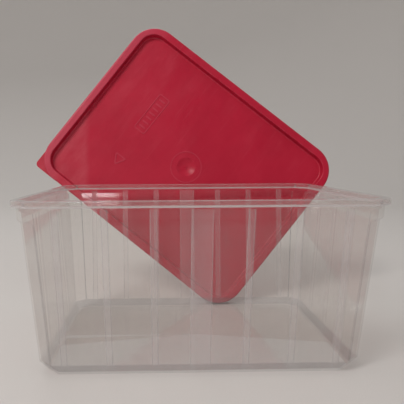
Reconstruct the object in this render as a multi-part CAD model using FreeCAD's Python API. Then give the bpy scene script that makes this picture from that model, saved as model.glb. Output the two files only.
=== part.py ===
import FreeCAD, Part
import math
import os

from FreeCAD import Placement, Rotation, Vector

# A slab mould made of a moulded polypropylene tub and its separate press-on lid.
# Millimetres, +Z up. The origin is the middle of the tub's underside, +X runs along the
# long side and the lid stands on its lowest corner behind the tub, on the +Y side.

# ---- tub: driving dimensions -------------------------------------------------------
RIM_LENGTH = 252.0          # over the rim flange, along X
RIM_DEPTH = 195.0           # over the rim flange, along Y
HEIGHT = 126.0              # underside to rim
FOOT_LENGTH = 220.4         # flat underside, along X
FOOT_DEPTH = 149.6          # flat underside, along Y
FOOT_CHAMFER = 9.9          # leg of the cut corner at the underside
BEVEL_HEIGHT = 8.5          # sloped foot between the underside and the walls
BEVEL_OUT = 5.4             # how far the sloped foot runs out
WALL_TOP_INSET = 5.0        # rim flange edge in to the top of the tapered wall
WALL_TOP_CHAMFER = 11.4
WALL = 1.3                  # wall thickness
FLOOR = 1.6                 # floor thickness

# ---- tub: rim ----------------------------------------------------------------------
RIM_CHAMFER = 12.0          # leg of the flange's cut corners
RIM_RADIUS = 4.0            # rounding of the upright edges of the flange
LIP_HEIGHT = 4.7            # turned-down lip of the flange
LIP_WALL = 1.1
FLANGE_THICKNESS = 1.4
COLLAR_INSET = 2.9          # flange edge in to the collar
COLLAR_DRAFT = 0.5
COLLAR_BOTTOM = 13.5        # below the rim
WALL_TOP = 15.5             # below the rim, where the tapered wall starts
LEDGE_DEPTH = 7.5           # stacking ledge inside, below the rim
LEDGE_SLOPE = 0.8

# ---- tub: wall ribs ----------------------------------------------------------------
RIB_PITCH_LONG = 31.9       # along the long walls
RIB_PITCH_SHORT = 38.0      # along the short walls
RIB_WIDTH = 4.8
RIB_WIDTH_MIDDLE = 14.6     # broad middle band of each long wall
RIB_PROUD = 0.7
RIB_EDGE = 0.65             # slope down a rib's two long edges
RIBS_EACH_SIDE_LONG = 3
RIBS_EACH_SIDE_SHORT = 1
CORNER_EDGE_RADIUS = 2.2    # outside rounding of the upright corner edges

# ---- lid: driving dimensions -------------------------------------------------------
LID_OVERHANG = 2.4          # lid edge beyond the rim flange, each side
LID_RADIUS = 28.0
LID_HEIGHT = 10.0
LID_WALL = 1.3
LID_EDGE_RADIUS = 2.2       # rounded shoulder of the rim band
BAND_WIDTH = 8.0            # raised band around the recess
RECESS_RADIUS = 17.0
RECESS_DEPTH = 6.5
RECESS_DRAFT = 1.1
RECESS_FLOOR_RADIUS = 1.6
BAND_INNER_RADIUS = 1.0
BEAD_DEPTH = 1.5            # snap bead inside the skirt
BEAD_TOP = 6.6              # below the lid's top
BEAD_HEIGHT = 1.6

# ---- lid: panel details ------------------------------------------------------------
DIMPLE_CENTRE = (1.5, -1.3)  # gate dimple and its ring, near the middle
DIMPLE_RADIUS = 10.0
DIMPLE_DEPTH = 2.6
DIMPLE_EDGE = 0.8           # rounding where the dimple meets the panel
NUB_RADIUS = 1.3            # trimmed gate in the dimple
NUB_HEIGHT = 0.7
RING_RADIUS = 17.0
RELIEF = 0.35               # height of raised lines on the panel
LINE = 1.0                  # width of raised lines
FRAME_CENTRE = (-63.0, 21.0)  # raised outline around a row of plain bars
FRAME_SIZE = (14.0, 46.0)
FRAME_RADIUS = 2.5
BAR_COUNT = 7
BAR_LENGTH = 7.5
BAR_WIDTH = 1.6
MARK_CENTRE = (-61.0, -39.0)  # raised triangle
MARK_RADIUS = 8.5
TAB_REACH = 0.8             # pull tab beyond the lid's edge
TAB_LENGTH = 32.0           # along each side from the corner
TAB_RADIUS = 4.5
TAB_THICKNESS = 1.3

# ---- lid: where it stands ----------------------------------------------------------
LID_TURN = 38.65            # its long side falls this far from level
LID_LEAN = 10.0             # top leans back from upright
LID_SWING = -2.4            # turned about the upright
LID_X = -0.4
LID_Y = 107.4

ROOT2 = math.sqrt(2.0)


def octagon(half_x, half_y, chamfer, z):
    """Corner points of a rectangle with four cut corners, counter-clockwise."""
    points = []
    for sx, sy in ((1, -1), (1, 1), (-1, 1), (-1, -1)):
        on_x_side = Vector(sx * half_x, sy * (half_y - chamfer), z)
        on_y_side = Vector(sx * (half_x - chamfer), sy * half_y, z)
        points += [on_x_side, on_y_side] if sx * sy > 0 else [on_y_side, on_x_side]
    return points


def stacked(sections):
    """Solid with flat sides through a list of octagons, lowest first."""
    def face(points):
        return Part.Face(Part.makePolygon(points + points[:1]))

    faces = [face(sections[0][::-1]), face(sections[-1])]
    for lower, upper in zip(sections, sections[1:]):
        for i in range(8):
            j = (i + 1) % 8
            faces.append(face([lower[i], lower[j], upper[j], upper[i]]))
    return Part.makeSolid(Part.makeShell(faces))


def rounded_slab(half_x, half_y, radius, bottom, top, centre=(0.0, 0.0)):
    """Upright slab whose outline is a rectangle with round corners."""
    slab = Part.makeBox(2 * half_x, 2 * half_y, top - bottom,
                        Vector(centre[0] - half_x, centre[1] - half_y, bottom))
    upright = [e for e in slab.Edges if abs(e.tangentAt(e.FirstParameter).z) > 0.99]
    return slab.makeFillet(radius, upright)


def rounded_pan(half_x, half_y, radius, bottom, top, draft):
    """Slab with round corners that narrows downwards by the draft."""
    def wire(inset, z):
        slab = rounded_slab(half_x - inset, half_y - inset, radius - inset, z, z + 1.0)
        lowest = min(slab.Faces, key=lambda f: f.CenterOfMass.z)
        return lowest.OuterWire
    return Part.makeLoft([wire(draft, bottom), wire(0.0, top)], True, True)


def edges_at(shape, z, tolerance=0.01):
    """Edges that lie wholly at one height."""
    return [e for e in shape.Edges
            if abs(e.BoundBox.ZMin - z) < tolerance and abs(e.BoundBox.ZMax - z) < tolerance]


def upright_edges(shape, shortest=20.0):
    """Long corner edges that run up the walls."""
    return [e for e in shape.Edges
            if e.Length > shortest and abs(e.tangentAt(e.FirstParameter).z) > 0.9]


# ---- the tub ------------------------------------------------------------------------
HALF_X = RIM_LENGTH / 2
HALF_Y = RIM_DEPTH / 2
FOOT_X = FOOT_LENGTH / 2
FOOT_Y = FOOT_DEPTH / 2


def wall_half(z, along_x):
    """Outside half-width of the tapered wall at a height above the sloped foot."""
    low = (FOOT_X if along_x else FOOT_Y) + BEVEL_OUT
    high = (HALF_X if along_x else HALF_Y) - WALL_TOP_INSET
    return low + (high - low) * (z - BEVEL_HEIGHT) / (HEIGHT - WALL_TOP - BEVEL_HEIGHT)


def tub_body():
    """Outside form from the underside to the flange, as one flat-sided solid."""
    top_inset = COLLAR_INSET
    low_inset = COLLAR_INSET + COLLAR_DRAFT
    body = stacked([
        octagon(FOOT_X, FOOT_Y, FOOT_CHAMFER, 0.0),
        octagon(FOOT_X + BEVEL_OUT, FOOT_Y + BEVEL_OUT, FOOT_CHAMFER, BEVEL_HEIGHT),
        octagon(HALF_X - WALL_TOP_INSET, HALF_Y - WALL_TOP_INSET, WALL_TOP_CHAMFER,
                HEIGHT - WALL_TOP),
        octagon(HALF_X - low_inset, HALF_Y - low_inset, WALL_TOP_CHAMFER,
                HEIGHT - COLLAR_BOTTOM),
        octagon(HALF_X - top_inset, HALF_Y - top_inset, WALL_TOP_CHAMFER, HEIGHT),
    ])
    return body.makeFillet(CORNER_EDGE_RADIUS, upright_edges(body))


def tub_hollow():
    """Inside form: parallel to the outside, with a ledge under the rim for stacking."""
    cut = WALL * (2.0 - ROOT2)

    def inner(half_x, half_y, chamfer, z):
        return octagon(half_x - WALL, half_y - WALL, chamfer - cut, z)

    floor_out = BEVEL_OUT * FLOOR / BEVEL_HEIGHT
    ledge_z = HEIGHT - LEDGE_DEPTH - LEDGE_SLOPE
    above_wall_top = (ledge_z - (HEIGHT - WALL_TOP)) / (HEIGHT - WALL_TOP - BEVEL_HEIGHT)
    low_x, low_y = FOOT_X + BEVEL_OUT, FOOT_Y + BEVEL_OUT
    high_x, high_y = HALF_X - WALL_TOP_INSET, HALF_Y - WALL_TOP_INSET
    ledge_x = high_x + (high_x - low_x) * above_wall_top
    ledge_y = high_y + (high_y - low_y) * above_wall_top
    rim_x, rim_y = HALF_X - COLLAR_INSET, HALF_Y - COLLAR_INSET
    hollow = stacked([
        inner(FOOT_X + floor_out, FOOT_Y + floor_out, FOOT_CHAMFER, FLOOR),
        inner(low_x, low_y, FOOT_CHAMFER, BEVEL_HEIGHT + 0.4),
        inner(ledge_x, ledge_y, WALL_TOP_CHAMFER, ledge_z),
        inner(rim_x - COLLAR_DRAFT, rim_y - COLLAR_DRAFT, WALL_TOP_CHAMFER,
              HEIGHT - LEDGE_DEPTH),
        inner(rim_x, rim_y, WALL_TOP_CHAMFER, HEIGHT + 1.0),
    ])
    return hollow.makeFillet(CORNER_EDGE_RADIUS - 0.8, upright_edges(hollow))


def rim_flange():
    """Flange with cut corners and a turned-down lip, open underneath."""
    def slab(inset, bottom, top):
        chamfer = RIM_CHAMFER - inset * (2.0 - ROOT2)
        ends = [octagon(HALF_X - inset, HALF_Y - inset, chamfer, z) for z in (bottom, top)]
        plain = stacked(ends)
        return plain.makeFillet(RIM_RADIUS - inset, upright_edges(plain, 0.5))

    flange = slab(0.0, HEIGHT - LIP_HEIGHT, HEIGHT)
    flange = flange.makeFillet(0.8, edges_at(flange, HEIGHT))
    flange = flange.makeFillet(0.4, edges_at(flange, HEIGHT - LIP_HEIGHT))
    return flange.cut(slab(LIP_WALL, HEIGHT - LIP_HEIGHT - 1.0, HEIGHT - FLANGE_THICKNESS))


def rib(centre, width, along_x, side):
    """Raised band up the outside of one wall, from the sloped foot to the collar."""
    bottom, top = BEVEL_HEIGHT - 0.6, HEIGHT - WALL_TOP + 1.0
    root = 0.5
    low, high = wall_half(bottom, not along_x), wall_half(top, not along_x)
    profile = [(low - root, bottom), (low + RIB_PROUD, bottom + 1.4),
               (high + RIB_PROUD, top), (high - root, top)]
    points = [Vector(centre - width / 2, side * out, z) for out, z in profile]
    band = Part.Face(Part.makePolygon(points + points[:1])).extrude(Vector(width, 0, 0))
    outer = [e for e in upright_edges(band) if abs(e.CenterOfMass.y) > (low + high) / 2]
    band = band.makeChamfer(RIB_EDGE, outer)
    if not along_x:
        band.rotate(Vector(0, 0, 0), Vector(0, 0, 1), -90)
    return band


def ribs():
    """All wall ribs: the long walls share one pitch, the short walls another."""
    bands = []
    for side in (-1, 1):
        for n in range(-RIBS_EACH_SIDE_LONG, RIBS_EACH_SIDE_LONG + 1):
            width = RIB_WIDTH if n else RIB_WIDTH_MIDDLE
            bands.append(rib(n * RIB_PITCH_LONG, width, True, side))
        for n in range(-RIBS_EACH_SIDE_SHORT, RIBS_EACH_SIDE_SHORT + 1):
            bands.append(rib(n * RIB_PITCH_SHORT, RIB_WIDTH, False, side))
    return bands


def tub():
    outside = tub_body().multiFuse([rim_flange()] + ribs())
    return outside.cut(tub_hollow()).removeSplitter()


# ---- the lid, first flat with its top at z = 0 ---------------------------------------
LID_X_HALF = HALF_X + LID_OVERHANG
LID_Y_HALF = HALF_Y + LID_OVERHANG


def lid_slab(inset, bottom, top):
    """Slab that follows the lid's outline, set in by an amount."""
    return rounded_slab(LID_X_HALF - inset, LID_Y_HALF - inset,
                        max(LID_RADIUS - inset, 1.0), bottom, top)


def lid_shell():
    """Rim band, skirt, snap channel, recess wall and panel."""
    body = lid_slab(0.0, -LID_HEIGHT, 0.0)
    body = body.makeFillet(LID_EDGE_RADIUS, edges_at(body, 0.0))
    recess = rounded_pan(LID_X_HALF - BAND_WIDTH, LID_Y_HALF - BAND_WIDTH,
                         RECESS_RADIUS, -RECESS_DEPTH, 0.0, RECESS_DRAFT)
    recess = recess.makeFillet(RECESS_FLOOR_RADIUS, edges_at(recess, -RECESS_DEPTH))
    channel = lid_slab(LID_WALL, -LID_HEIGHT - 1.0, -LID_WALL)
    channel = channel.cut(lid_slab(BAND_WIDTH - LID_WALL, -LID_HEIGHT - 2.0, 0.0))
    under_panel = lid_slab(BAND_WIDTH - LID_WALL - 0.5, -LID_HEIGHT - 1.0,
                           -RECESS_DEPTH - LID_WALL)
    bead = lid_slab(LID_WALL - 0.4, -BEAD_TOP - BEAD_HEIGHT, -BEAD_TOP)
    bead = bead.cut(lid_slab(LID_WALL + BEAD_DEPTH, -LID_HEIGHT, 0.0))
    bead_edges = [e for z in (-BEAD_TOP, -BEAD_TOP - BEAD_HEIGHT) for e in edges_at(bead, z)
                  if e.BoundBox.XMax < LID_X_HALF - LID_WALL - 1.0
                  and e.BoundBox.XMin > -LID_X_HALF + LID_WALL + 1.0
                  and e.BoundBox.YMax < LID_Y_HALF - LID_WALL - 1.0
                  and e.BoundBox.YMin > -LID_Y_HALF + LID_WALL + 1.0]
    bead = bead.makeFillet(0.6, bead_edges)
    shell = body.cut(recess).cut(channel).cut(under_panel)
    return shell.makeFillet(BAND_INNER_RADIUS, edges_at(shell, 0.0)).fuse(bead)


def frame_line(centre, size, radius, bottom):
    """Raised plain outline on the panel."""
    outer = rounded_slab(size[0] / 2, size[1] / 2, radius, bottom, bottom + RELIEF + 0.2, centre)
    inner = rounded_slab(size[0] / 2 - LINE, size[1] / 2 - LINE, radius - LINE,
                         bottom - 1.0, bottom + 2.0, centre)
    return outer.cut(inner)


def ring_line(centre, radius, bottom):
    """Raised plain ring on the panel."""
    at = Vector(centre[0], centre[1], bottom)
    outer = Part.makeCylinder(radius, RELIEF + 0.2, at)
    return outer.cut(Part.makeCylinder(radius - LINE, 2.0, at - Vector(0, 0, 0.5)))


def bar_row(centre, bottom):
    """Short raised bars, evenly spaced along Y inside the raised outline."""
    pitch = FRAME_SIZE[1] / (BAR_COUNT + 1)
    bars = []
    for n in range(BAR_COUNT):
        middle = (centre[0], centre[1] + (n - (BAR_COUNT - 1) / 2) * pitch)
        bars.append(rounded_slab(BAR_LENGTH / 2, BAR_WIDTH / 2, 0.6, bottom,
                                 bottom + RELIEF + 0.2, middle))
    return bars


def triangle_line(centre, radius, bottom):
    """Raised triangle outline with rounded corners."""
    def prism(size, low, high, rounding):
        points = [Vector(centre[0] + size * math.cos(a), centre[1] + size * math.sin(a), low)
                  for a in (math.radians(d) for d in (30, 150, 270))]
        solid = Part.Face(Part.makePolygon(points + points[:1])).extrude(Vector(0, 0, high - low))
        return solid.makeFillet(rounding, upright_edges(solid, 0.1))

    outer = prism(radius, bottom, bottom + RELIEF + 0.2, 1.5)
    return outer.cut(prism(radius - 2.6 * LINE, bottom - 0.5, bottom + 2.0, 0.8))


def pull_tab():
    """Thin squared ear at the foot of the skirt, at one corner."""
    reach_x, reach_y = LID_X_HALF + TAB_REACH, LID_Y_HALF + TAB_REACH
    centre = (-reach_x + TAB_LENGTH / 2, -reach_y + TAB_LENGTH / 2)
    ear = rounded_slab(TAB_LENGTH / 2, TAB_LENGTH / 2, TAB_RADIUS,
                       -LID_HEIGHT, -LID_HEIGHT + TAB_THICKNESS, centre)
    ear = ear.makeFillet(0.4, edges_at(ear, -LID_HEIGHT + TAB_THICKNESS))
    return ear.cut(lid_slab(LID_WALL / 2, -LID_HEIGHT - 1.0, 0.0))


def lid_flat():
    panel_top = -RECESS_DEPTH
    panel_under = panel_top - LID_WALL
    sphere = (DIMPLE_RADIUS ** 2 + DIMPLE_DEPTH ** 2) / (2 * DIMPLE_DEPTH)
    at_x, at_y = DIMPLE_CENTRE
    centre = Vector(at_x, at_y, panel_top - DIMPLE_DEPTH + sphere)
    bulge = Part.makeSphere(sphere + LID_WALL, centre)
    bulge = bulge.common(Part.makeBox(60, 60, 6.0, Vector(-30, -30, panel_under - 5.4)))
    nub = Part.makeCylinder(NUB_RADIUS, NUB_HEIGHT + 1.0,
                            Vector(at_x, at_y, panel_top - DIMPLE_DEPTH - 1.0))
    details = [
        ring_line(DIMPLE_CENTRE, RING_RADIUS, panel_top - 0.2),
        triangle_line(MARK_CENTRE, MARK_RADIUS, panel_top - 0.2),
        frame_line(FRAME_CENTRE, FRAME_SIZE, FRAME_RADIUS, panel_top - 0.2),
        bulge,
        pull_tab(),
    ]
    shape = lid_shell().multiFuse(details + bar_row(FRAME_CENTRE, panel_top - 0.2)).cut(Part.makeSphere(sphere, centre))
    lip = [e for e in edges_at(shape, panel_top)
           if abs(e.Length - 2 * math.pi * DIMPLE_RADIUS) < 0.1]
    return shape.makeFillet(DIMPLE_EDGE, lip).fuse(nub).removeSplitter()


def lid():
    """The lid where it stands: on its lowest corner, leaning back behind the tub."""
    shape = lid_flat()
    turn = Rotation(Vector(0, 0, 1), -LID_TURN)
    lean = Rotation(Vector(1, 0, 0), 90 - LID_LEAN)
    swing = Rotation(Vector(0, 0, 1), LID_SWING)
    shape.Placement = Placement(Vector(LID_X, LID_Y, 0), swing.multiply(lean).multiply(turn))
    lowest = shape.optimalBoundingBox(True, False).ZMin
    shape.translate(Vector(0, 0, -lowest))
    return shape


os.makedirs("parts", exist_ok=True)
PIECES = {"tub": tub(), "lid": lid()}
for name, shape in PIECES.items():
    shape.exportStep(os.path.join("parts", name + ".step"))
    box = shape.BoundBox
    print(name, "valid", shape.isValid(), "solids", len(shape.Solids),
          "volume %.0f" % shape.Volume, "area %.0f" % shape.Area,
          "box %.1f..%.1f %.1f..%.1f %.2f..%.1f" % (box.XMin, box.XMax, box.YMin, box.YMax,
                                                   box.ZMin, box.ZMax))
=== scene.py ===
import math

import bmesh
import bpy
from mathutils import Euler, Matrix, Vector


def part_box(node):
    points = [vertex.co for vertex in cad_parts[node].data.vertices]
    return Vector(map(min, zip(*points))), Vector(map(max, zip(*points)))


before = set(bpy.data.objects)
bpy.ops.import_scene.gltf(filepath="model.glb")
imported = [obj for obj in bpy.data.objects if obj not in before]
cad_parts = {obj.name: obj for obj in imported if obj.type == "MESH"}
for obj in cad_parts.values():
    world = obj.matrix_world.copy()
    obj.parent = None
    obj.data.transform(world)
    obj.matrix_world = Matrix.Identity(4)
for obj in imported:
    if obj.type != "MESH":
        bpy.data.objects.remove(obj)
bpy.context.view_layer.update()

tub_low, tub_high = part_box("tub")
tub_length = tub_high[0] - tub_low[0]
rim_height = tub_high[2]

MM = 0.001
WHITE = (1.0, 1.0, 1.0)

# ---- camera -------------------------------------------------------------------------
SENSOR = 36.0
LENS = 41.57
CAMERA_PLACE = Vector((-0.1071, -1.5518, 0.6036)) * tub_length
CAMERA_PITCH = math.radians(-8.27)
CAMERA_YAW = math.radians(1.04)
CAMERA_ROLL = math.radians(-0.33)
SHIFT_X = 0.0804
SHIFT_Y = 0.0609
CLIP_START = 0.01


def make_camera():
    data = bpy.data.cameras.new("camera")
    data.sensor_width = SENSOR
    data.lens = LENS
    data.shift_x = SHIFT_X
    data.shift_y = SHIFT_Y
    data.clip_start = CLIP_START
    camera = bpy.data.objects.new("camera", data)
    aim = Euler((math.pi / 2 + CAMERA_PITCH, 0.0, -CAMERA_YAW), "XYZ").to_matrix().to_4x4()
    camera.matrix_world = Matrix.Translation(CAMERA_PLACE) @ aim @ Matrix.Rotation(CAMERA_ROLL, 4, "Z")
    bpy.context.scene.collection.objects.link(camera)
    bpy.context.scene.camera = camera


# ---- node helper --------------------------------------------------------------------
class Nodes:
    """Builds a material's node tree from plain calls."""

    def __init__(self, name):
        self.material = bpy.data.materials.new(name)
        self.material.use_nodes = True
        self.tree = self.material.node_tree
        self.tree.nodes.clear()

    def add(self, kind, inputs=None, **settings):
        """A node with settings, and with each input linked or set."""
        node = self.tree.nodes.new("ShaderNode" + kind)
        for key, value in settings.items():
            setattr(node, key, value)
        for key, value in (inputs or {}).items():
            if isinstance(value, bpy.types.NodeSocket):
                self.tree.links.new(value, node.inputs[key])
            else:
                node.inputs[key].default_value = value
        return node

    def math(self, operation, *values, clamp=False):
        """One step of arithmetic on sockets and numbers."""
        node = self.add("Math", dict(enumerate(values)), operation=operation, use_clamp=clamp)
        return node.outputs[0]

    def total(self, *values):
        """Sum of two or more sockets and numbers, kept between 0 and 1."""
        result = values[0]
        for value in values[1:-1]:
            result = self.math("ADD", result, value)
        return self.math("ADD", result, values[-1], clamp=True)

    def times(self, *values):
        """Product of sockets and numbers."""
        result = values[0]
        for value in values[1:]:
            result = self.math("MULTIPLY", result, value)
        return result

    def highest(self, *values):
        """The largest of some sockets."""
        result = values[0]
        for value in values[1:]:
            result = self.math("MAXIMUM", result, value)
        return result

    def weighted(self, masks, weights, *more):
        """Sum, kept between 0 and 1, of what is given and of the masks times their weights."""
        return self.total(*more, *(self.times(masks[name], weight)
                                   for name, weight in weights.items()))

    def ramp(self, value, start, end, low=0.0, high=1.0):
        """Smooth step from low at start to high at end."""
        inputs = {"Value": value, "From Min": start, "From Max": end, "To Min": low, "To Max": high}
        return self.add("MapRange", inputs, interpolation_type="SMOOTHSTEP").outputs[0]

    def band(self, value, rise, fall):
        """Mask that goes up over the span rise and down again over the span fall."""
        return self.times(self.ramp(value, *rise), self.ramp(value, fall[1], fall[0]))

    def noise(self, vector, scale, detail=3.0, roughness=0.5):
        """Noise between 0 and 1. A higher scale makes it finer."""
        inputs = {"Vector": vector, "Scale": scale, "Detail": detail, "Roughness": roughness}
        return self.add("TexNoise", inputs).outputs[0]

    def stretch(self, vector, scale):
        return self.add("Mapping", {"Vector": vector, "Scale": scale}).outputs[0]

    def split(self, vector):
        return self.add("SeparateXYZ", {0: vector}).outputs

    def mix(self, factor, first, second):
        return self.add("MixShader", {0: factor, 1: first, 2: second}).outputs[0]

    def blend(self, factor, first, second):
        """Colour between two colours or colour sockets."""
        # A colour Mix node also has hidden sockets of the same names for its other types.
        node = self.add("Mix", data_type="RGBA")
        for key, value in (("Factor", factor), ("A", first), ("B", second)):
            socket = next(s for s in node.inputs if s.name == key and s.enabled)
            if isinstance(value, bpy.types.NodeSocket):
                self.tree.links.new(value, socket)
            else:
                socket.default_value = value
        return next(s for s in node.outputs if s.enabled)

    def bump(self, height, distance, strength=1.0, under=None):
        """Surface normal of a height map, over another bump if one is given."""
        inputs = {"Height": height, "Distance": distance, "Strength": strength}
        if under is not None:
            inputs["Normal"] = under
        return self.add("Bump", inputs).outputs[0]

    def finish(self, shader):
        """Sends the shader to the output, and gives back the material."""
        self.add("OutputMaterial", {0: shader})
        return self.material


# ---- stage --------------------------------------------------------------------------
FLOOR_RADIUS = 1.3
BOWL_RADIUS = 2.4
BOWL_HEIGHT = 2.2
BEND_STEPS = 12
TURN_STEPS = 96
PAPER = (0.62, 0.595, 0.575)
PAPER_GRAIN = 0.97


def bowl_profile():
    """Radius and height of each ring: flat floor, quarter bend, upright wall."""
    bend = BOWL_RADIUS - FLOOR_RADIUS
    profile = [(FLOOR_RADIUS, 0.0)]
    for k in range(1, BEND_STEPS + 1):
        angle = math.pi / 2 * k / BEND_STEPS
        profile.append((FLOOR_RADIUS + bend * math.sin(angle), bend * (1 - math.cos(angle))))
    profile.append((BOWL_RADIUS, BOWL_HEIGHT))
    return profile


def make_stage():
    """Pale floor that turns up into a round backdrop, seen from inside."""
    mesh = bpy.data.meshes.new("studio_floor")
    bm = bmesh.new()
    centre = bm.verts.new((0.0, 0.0, 0.0))
    angles = [2 * math.pi * n / TURN_STEPS for n in range(TURN_STEPS)]
    rings = []
    for radius, z in bowl_profile():
        rings.append([bm.verts.new((radius * math.cos(a), radius * math.sin(a), z)) for a in angles])
    for n in range(TURN_STEPS):
        after = (n + 1) % TURN_STEPS
        bm.faces.new((centre, rings[0][n], rings[0][after]))
        for low, high in zip(rings, rings[1:]):
            bm.faces.new((low[n], high[n], high[after], low[after]))
    for face in bm.faces:
        face.smooth = True
    bm.to_mesh(mesh)
    bm.free()
    floor = bpy.data.objects.new("studio_floor", mesh)
    bpy.context.scene.collection.objects.link(floor)

    nodes = Nodes("studio_paper")
    place = nodes.add("TexCoord").outputs["Object"]
    grain = nodes.ramp(nodes.noise(place, 900.0), 0.3, 0.7)
    dim = tuple(PAPER_GRAIN * c for c in PAPER)
    shade = nodes.blend(grain, dim + (1.0,), PAPER + (1.0,))
    mesh.materials.append(nodes.finish(nodes.add("BsdfDiffuse", {"Color": shade}).outputs[0]))


# ---- lights -------------------------------------------------------------------------
LIGHT_TARGET = (0.0, 0.05, 0.12)
# Each light has a name, a place, a size, a power in watts and a colour. The small low one
# is there for the small bright glint on the tub.
LIGHTS = (
    ("key", (-0.95, -1.05, 1.35), (0.55, 0.55), 18.5, (1.0, 0.98, 0.955)),
    ("fill", (1.3, -0.9, 0.8), (1.0, 1.0), 0.6, (0.95, 0.97, 1.0)),
    ("top", (-0.4, 1.1, 1.5), (1.2, 1.2), 6.0, WHITE),
    ("window", (-0.26, -1.05, 0.32), (0.16, 0.08), 0.5, WHITE),
)
SKY = (1.0, 0.99, 0.98, 1.0)
SKY_STRENGTH = 0.52
# The view goes through many layers of clear plastic, one behind the other.
CLEAR_LAYERS = 32


def area_light(name, place, size, power, colour):
    data = bpy.data.lights.new(name, "AREA")
    data.shape = "RECTANGLE"
    data.size, data.size_y = size
    data.energy = power
    data.color = colour
    lamp = bpy.data.objects.new(name, data)
    lamp.location = place
    aim = Vector(LIGHT_TARGET) - Vector(place)
    lamp.rotation_euler = aim.to_track_quat("-Z", "Y").to_euler()
    bpy.context.scene.collection.objects.link(lamp)


def make_lights():
    for light in LIGHTS:
        area_light(*light)
    world = bpy.data.worlds.new("soft_world")
    world.use_nodes = True
    background = world.node_tree.nodes["Background"]
    background.inputs[0].default_value = SKY
    background.inputs[1].default_value = SKY_STRENGTH
    scene = bpy.context.scene
    scene.world = world
    scene.view_settings.view_transform = "Standard"
    scene.cycles.transparent_max_bounces = CLEAR_LAYERS


# ---- marks on both plastics ---------------------------------------------------------
SCRATCH_STRETCH = (900.0, 14.0, 14.0)
SCRATCH_EDGE = 0.06


def scratches(nodes, place, turn, density):
    """Sparse thin lines in one direction, as an object rubbed in a cupboard gets."""
    turned = nodes.add("Mapping", {"Vector": place, "Rotation": turn,
                                   "Scale": SCRATCH_STRETCH}).outputs[0]
    lines = nodes.noise(turned, 1.0, 2.0)
    return nodes.ramp(lines, 1.0 - density, 1.0 - density + SCRATCH_EDGE)


# ---- the tub's plastic --------------------------------------------------------------
RIB_PITCH_LONG = 31.9 * MM
RIB_PITCH_SHORT = 38.0 * MM
RIBS_EACH_WAY_LONG = 3
RIBS_EACH_WAY_SHORT = 1
RIB_HALF = 2.4 * MM
MIDDLE_HALF = 7.3 * MM
RIB_FOOT = 8.0 * MM
RIB_TOP = rim_height - 6.5 * MM
RIB_EDGE = 0.65 * MM
RIB_BLUR = 0.25 * MM

# How much each mask adds to the milkiness, and how much painted shade darkens the clear plastic. The
# milk on the rib edges, crest and lip is painted highlight lines. The darkening of the rib edges,
# foot, cut corners and bends is painted shade.
MILK_AND_PAINTED_GLINTS = {"ribs": 0.10, "broad": 0.01, "edges": 0.11, "collar": -0.015, "rim": 0.03, "crest": 0.24,
        "lip": 0.27, "bottom": 0.05, "foot": 0.03, "scuffs": 0.04, "grazing": 0.22}
PAINTED_SHADE = {"edges": 0.25, "foot": 0.55, "corner": 0.6, "fold": 1.0}
CLEAR_TINT = (0.985, 0.977, 0.969, 1.0)
# The tint that the painted shade blends towards.
PAINTED_SHADE_TINT = (0.76, 0.76, 0.765, 1.0)
HAZE_DIM = (0.70, 0.68, 0.69, 1.0)
HAZE_BRIGHT = (0.78, 0.76, 0.77, 1.0)
TUB_IOR = 1.5
RIB_ROUGHNESS = 0.16
STEP_MATT = 0.7


def rib_masks(nodes, place, normal):
    """How far a point is inside a rib, inside the broad rib, and on a rib's edge."""
    x, y, z = nodes.split(place)
    nx, ny, _ = nodes.split(normal)
    on_long = nodes.ramp(nodes.math("ABSOLUTE", ny), 0.55, 0.65)
    on_short = nodes.ramp(nodes.math("ABSOLUTE", nx), 0.80, 0.88)
    height = nodes.band(z, (RIB_FOOT, RIB_FOOT + 2 * MM), (RIB_TOP, RIB_TOP + 1.0 * MM))

    def inside(distance, half):
        return nodes.ramp(distance, half + RIB_BLUR, half - RIB_BLUR)

    def rows(along, pitch, count, wall):
        """The whole ribs of two facing walls, and the ribs without their edges."""
        distance = nodes.math("PINGPONG", along, pitch / 2)
        reach = nodes.math("ABSOLUTE", along)
        limit = nodes.ramp(reach, (count + 0.45) * pitch, (count + 0.4) * pitch)
        wall = nodes.times(wall, limit)
        full = nodes.times(inside(distance, RIB_HALF), wall)
        core = nodes.times(inside(distance, RIB_HALF - RIB_EDGE), wall)
        return full, core

    long_full, long_core = rows(x, RIB_PITCH_LONG, RIBS_EACH_WAY_LONG, on_long)
    short_full, short_core = rows(y, RIB_PITCH_SHORT, RIBS_EACH_WAY_SHORT, on_short)
    reach = nodes.math("ABSOLUTE", x)
    broad = nodes.times(inside(reach, MIDDLE_HALF), on_long)
    broad_core = nodes.times(inside(reach, MIDDLE_HALF - RIB_EDGE), on_long)
    full = nodes.times(nodes.highest(long_full, short_full, broad), height)
    core = nodes.times(nodes.highest(long_core, short_core, broad_core), height)
    broad = nodes.times(broad, height)
    # The edge mask carries painted highlight lines and painted shade lines along the rib edges.
    return full, broad, nodes.math("SUBTRACT", full, core, clamp=True)


def under_rim(*depths):
    """Heights that lie this many millimetres below the rim."""
    return tuple(rim_height - depth * MM for depth in depths)


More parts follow.
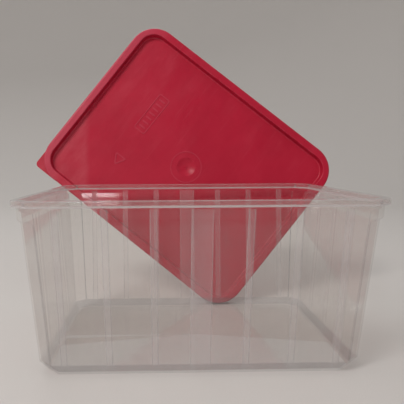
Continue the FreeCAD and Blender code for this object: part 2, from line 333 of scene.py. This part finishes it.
def tub_masks(nodes, place, normal):
    """Where each part of the tub's plastic is, by height and by the way it faces."""
    ribs, broad, edges = rib_masks(nodes, place, normal)
    _, _, z = nodes.split(place)
    nx, ny, nz = (nodes.math("ABSOLUTE", axis) for axis in nodes.split(normal))
    wide = nodes.highest(nx, ny)
    masks = {"ribs": ribs, "broad": broad, "edges": edges}
    masks["collar"] = nodes.ramp(z, *under_rim(15.0, 12.0))
    masks["rim"] = nodes.ramp(z, *under_rim(5.2, 4.4))
    # The crest gets a painted highlight line along the top of the rim.
    masks["crest"] = nodes.ramp(z, *under_rim(1.0, 0.5))
    # The lower edge of the turned-down lip, where a painted highlight line goes, and the ledge where
    # the walls step out.
    masks["lip"] = nodes.band(z, under_rim(5.2, 4.9), under_rim(3.7, 3.1))
    masks["step"] = nodes.band(z, under_rim(17.0, 15.8), under_rim(13.2, 12.0))
    # The foot band is darkened as painted shade, low on the tub where it meets the floor.
    masks["foot"] = nodes.band(z, (2.0 * MM, 2.6 * MM), (8.0 * MM, 9.0 * MM))
    masks["bottom"] = nodes.ramp(z, 2.4 * MM, 1.8 * MM)
    # The cut corners face neither way squarely, and are darkened as painted shade. The sloped foot is
    # left out of them.
    masks["corner"] = nodes.times(nodes.band(wide, (0.735, 0.79), (0.95, 0.985)),
                                  nodes.ramp(nz, 0.35, 0.25))
    # The bends where a long wall starts to turn into a cut corner, below the collar, darkened as
    # painted shade.
    masks["fold"] = nodes.times(nodes.band(ny, (0.91, 0.94), (0.975, 0.990)),
                                nodes.ramp(nx, 0.08, 0.14),
                                nodes.ramp(z, *under_rim(16.0, 18.0)))
    masks["scuffs"] = nodes.highest(scratches(nodes, place, (0.3, 0.5, 0.4), 0.33),
                                    scratches(nodes, place, (1.2, -0.4, 1.9), 0.33))
    facing = nodes.add("LayerWeight", {"Blend": 0.5}).outputs["Facing"]
    masks["grazing"] = nodes.math("POWER", facing, 3.0)
    return masks


def tub_plastic():
    """Clear plastic with a milky haze, see-through rather than refracting, and its gloss."""
    nodes = Nodes("natural_polypropylene")
    coordinates = nodes.add("TexCoord").outputs
    place, normal = coordinates["Object"], coordinates["Normal"]
    masks = tub_masks(nodes, place, normal)
    _, _, z = nodes.split(place)
    cloud = nodes.noise(place, 14.0, 3.0)

    # Upright flow streaks everywhere, and cut corners that get milkier towards the collar.
    flow = nodes.noise(nodes.stretch(place, (22.0, 22.0, 4.0)), 1.0, 4.0, 0.6)
    streaks = nodes.ramp(flow, 0.35, 0.7, 0.02, 0.045)
    corner_milk = nodes.times(masks["corner"], nodes.ramp(z, *under_rim(18.0, 12.0), 0.04, 0.22))
    # The milk holds painted highlight lines as well as the plastic's own haze. The tint holds painted
    # shade as well as the plastic's own tint.
    haze_and_painted_glints = nodes.weighted(masks, MILK_AND_PAINTED_GLINTS, streaks, corner_milk)
    tint_and_painted_shade = nodes.blend(nodes.weighted(masks, PAINTED_SHADE), CLEAR_TINT, PAINTED_SHADE_TINT)
    clear = nodes.add("BsdfTransparent", {"Color": tint_and_painted_shade}).outputs[0]
    haze = nodes.blend(cloud, HAZE_DIM, HAZE_BRIGHT)
    lit = nodes.add("BsdfDiffuse", {"Color": haze}).outputs[0]
    through = nodes.add("BsdfTranslucent", {"Color": haze}).outputs[0]
    body = nodes.mix(haze_and_painted_glints, clear, nodes.mix(0.5, lit, through))

    # Gloss on slightly wavy, finely grained plastic, on outer faces only.
    waves = nodes.noise(nodes.stretch(place, (30.0, 30.0, 12.0)), 1.0, 2.0)
    grain = nodes.noise(place, 2600.0, 2.0)
    uneven = nodes.bump(grain, 0.02 * MM, 0.25, nodes.bump(waves, 0.6 * MM, 0.5))
    rough = nodes.total(nodes.ramp(cloud, 0.3, 0.7, 0.05, 0.10),
                        nodes.times(masks["ribs"], RIB_ROUGHNESS))
    gloss = nodes.add("BsdfGlossy", {"Roughness": rough, "Normal": uneven}).outputs[0]
    fresnel = nodes.add("Fresnel", {"IOR": TUB_IOR, "Normal": uneven}).outputs[0]
    back = nodes.add("NewGeometry").outputs["Backfacing"]
    front = nodes.math("SUBTRACT", 1.0, back)
    even = nodes.math("SUBTRACT", 1.0, nodes.times(masks["step"], STEP_MATT))
    mirror = nodes.times(fresnel, front, even)
    return nodes.finish(nodes.mix(mirror, body, gloss))


# ---- the lid's plastic --------------------------------------------------------------
LID_TURN = math.radians(38.65)
LID_LEAN = math.radians(10.0)
LID_SWING = math.radians(-2.4)
TAB_REACH = 0.8 * MM
PANEL_DEPTH = -6.5 * MM

LID_DEEP = (0.405, 0.0085, 0.031, 1.0)
LID_BRIGHT = (0.450, 0.0105, 0.036, 1.0)
SMEARED = (0.47, 0.026, 0.055, 1.0)
WEAR_AND_SHEEN_PINK = (0.54, 0.075, 0.125, 1.0)
PAINTED_LIGHT_PINK = (0.60, 0.150, 0.180, 1.0)
RAISED = (0.56, 0.085, 0.135, 1.0)
PAINTED_SHEEN_PINK = (0.55, 0.090, 0.145, 1.0)
MARKED = (0.56, 0.09, 0.13, 1.0)
MARK_ROUGHNESS = 0.1
LID_SPECULAR = 0.22


def lid_frame():
    """The lid's own axes and origin: x along its long side, z out of its top face."""
    turn = Matrix.Rotation(-LID_TURN, 3, "Z")
    lean = Matrix.Rotation(math.pi / 2 - LID_LEAN, 3, "X")
    axes = Matrix.Rotation(LID_SWING, 3, "Z") @ lean @ turn
    flat = [axes.transposed() @ v.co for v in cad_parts["lid"].data.vertices]
    low = [min(v[i] for v in flat) for i in range(3)]
    high = [max(v[i] for v in flat) for i in range(3)]
    # The pull tab sticks out past the rectangle at its low end, both ways.
    middle_x = (low[0] + TAB_REACH + high[0]) / 2
    middle_y = (low[1] + TAB_REACH + high[1]) / 2
    return axes, axes @ Vector((middle_x, middle_y, high[2]))


def lid_plastic():
    """Crimson plastic, a little uneven in colour, with wear where it stands proud, and painted sheen
    and a painted light patch towards its left end.
    """
    nodes = Nodes("crimson_polyethylene")
    axes, origin = lid_frame()
    turned = axes.to_euler()
    coordinates = nodes.add("TexCoord").outputs
    place = nodes.add("Mapping", {"Vector": coordinates["Object"], "Location": origin,
                                  "Rotation": turned}, vector_type="TEXTURE").outputs[0]
    normal = nodes.add("Mapping", {"Vector": coordinates["Normal"],
                                   "Rotation": turned}, vector_type="TEXTURE").outputs[0]
    _, _, up = nodes.split(normal)
    along, across, depth = nodes.split(place)
    cloud = nodes.noise(place, 18.0, 4.0, 0.6)
    smears = nodes.noise(nodes.stretch(place, (60.0, 22.0, 40.0)), 1.0, 5.0, 0.65)
    marks = nodes.highest(scratches(nodes, place, (0.0, 0.0, 0.5), 0.34),
                          scratches(nodes, place, (0.0, 0.0, -0.9), 0.34))

    # Pale wear and painted sheen on the rounded shoulders of the rim band.
    wear_and_sheen = nodes.times(nodes.band(up, (0.25, 0.6), (0.9, 0.98)), nodes.ramp(smears, 0.35, 0.65),
                       nodes.ramp(depth, -3.0 * MM, -2.0 * MM))
    # A patch of painted light at the left corner of the top face, with an edge that is upright in the
    # rest pose. There, level is how far a point lies to the right of the lid's middle.
    level = nodes.math("ADD", nodes.times(along, math.cos(LID_TURN)),
                       nodes.times(across, math.sin(LID_TURN)))
    painted_light_patch = nodes.times(nodes.ramp(level, -102.0 * MM, -110.0 * MM),
                        nodes.ramp(smears, 0.3, 0.7, 0.35, 1.0), nodes.ramp(up, 0.3, 0.7))
    # The tops of the raised lines on the panel.
    raised = nodes.band(depth, (PANEL_DEPTH + 0.10 * MM, PANEL_DEPTH + 0.25 * MM),
                        (PANEL_DEPTH + 0.40 * MM, PANEL_DEPTH + 0.50 * MM))
    # Painted sheen on the rim band at the end with the pull tab, the end the key light falls on.
    painted_sheen_end = nodes.times(nodes.ramp(along, -90.0 * MM, -122.0 * MM),
                          nodes.ramp(depth, -1.5 * MM, -0.8 * MM))

    colour = nodes.blend(nodes.ramp(cloud, 0.3, 0.7), LID_DEEP, LID_BRIGHT)
    colour = nodes.blend(nodes.ramp(smears, 0.52, 0.75, 0.0, 0.35), colour, SMEARED)
    # Some of these paler layers are painted light: the sheen on the shoulders, the patch at the left
    # corner and the sheen at the tab end.
    layers = ((wear_and_sheen, 0.45, WEAR_AND_SHEEN_PINK), (painted_light_patch, 0.22, PAINTED_LIGHT_PINK), (raised, 0.26, RAISED),
              (painted_sheen_end, 0.3, PAINTED_SHEEN_PINK), (marks, 0.12, MARKED))
    for mask, strength, paler in layers:
        colour = nodes.blend(nodes.times(mask, strength), colour, paler)

    rough = nodes.total(nodes.ramp(smears, 0.3, 0.7, 0.30, 0.42),
                        nodes.times(marks, MARK_ROUGHNESS))
    swell = nodes.bump(nodes.noise(place, 16.0, 2.0), 0.6 * MM, 0.5)
    grain = nodes.bump(nodes.noise(place, 1800.0, 3.0), 0.04 * MM, 0.35, swell)
    shader = nodes.add("BsdfPrincipled", {"Base Color": colour, "Roughness": rough, "Normal": grain,
                                          "Specular IOR Level": LID_SPECULAR})
    return nodes.finish(shader.outputs[0])


def dress(node, material):
    """Gives every slot of a CAD node the one material."""
    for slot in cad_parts[node].material_slots:
        slot.material = material


make_camera()
make_stage()
make_lights()
dress("tub", tub_plastic())
dress("lid", lid_plastic())
